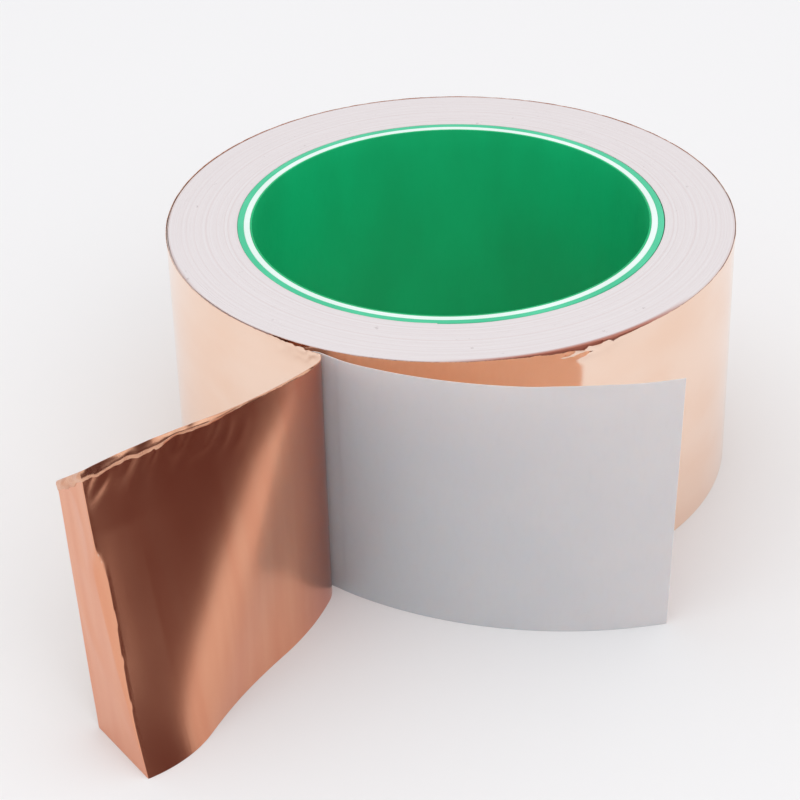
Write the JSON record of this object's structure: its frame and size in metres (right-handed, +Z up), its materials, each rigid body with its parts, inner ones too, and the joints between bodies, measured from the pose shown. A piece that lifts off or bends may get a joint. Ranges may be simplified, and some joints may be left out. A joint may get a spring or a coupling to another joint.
{
  "type": "copper foil tape roll",
  "caption": "Roll of wide adhesive copper foil tape on a paper core, standing on its edge face, with the foil's end folded back and its release liner parted.",
  "frame": {"origin": "on the core's axis, in the plane that the roll stands on", "axes": "+Z up along the core's axis; +Y away from the peeled end; the free end lies towards -Y"},
  "size_m": [0.1197, 0.1588, 0.05],
  "materials": {
    "copper": null,
    "adhesive": "clear acrylic adhesive film that darkens the copper behind it",
    "release_liner": "siliconised release paper, pale grey, soft gloss",
    "wound_edges": "slit edges of the wound liner and foil, matt with fine concentric lines",
    "core_green": "green coated paper, satin",
    "core_white": "white board, matt",
    "core_pale_green": "pale green paper edge, matt"
  },
  "bodies": {
    "roll": {"core_inner_ply": "core_green", "core_board": "core_white", "core_outer_ply": "core_pale_green", "wound_turns": "wound_edges", "last_turn_foil": "copper", "last_turn_adhesive": "adhesive", "last_turn_liner": "release_liner"},
    "foil_tail": {"foil_tail": "copper", "foil_tail_adhesive": "adhesive"},
    "foil_end": {"foil_end": "copper", "foil_end_adhesive": "adhesive"},
    "liner_tail": {"liner_tail": "release_liner"}
  },
  "joints": [
    {"name": "foil_fold", "type": "hinge", "parent": "roll", "child": "foil_tail", "pos_m": [-0.02286, -0.05144, 0], "axis": [0, 0, 1], "range_deg": [-75, 20]},
    {"name": "foil_crease", "type": "hinge", "parent": "foil_tail", "child": "foil_end", "pos_m": [-0.05132, -0.10431, 0], "axis": [-0.1592, 0.3213, 0.9335], "range_deg": [-30, 60]},
    {"name": "liner_swing", "type": "hinge", "parent": "roll", "child": "liner_tail", "pos_m": [-0.02027, -0.05276, 0], "axis": [0, 0, 1], "range_deg": [-30, 8]}
  ]
}
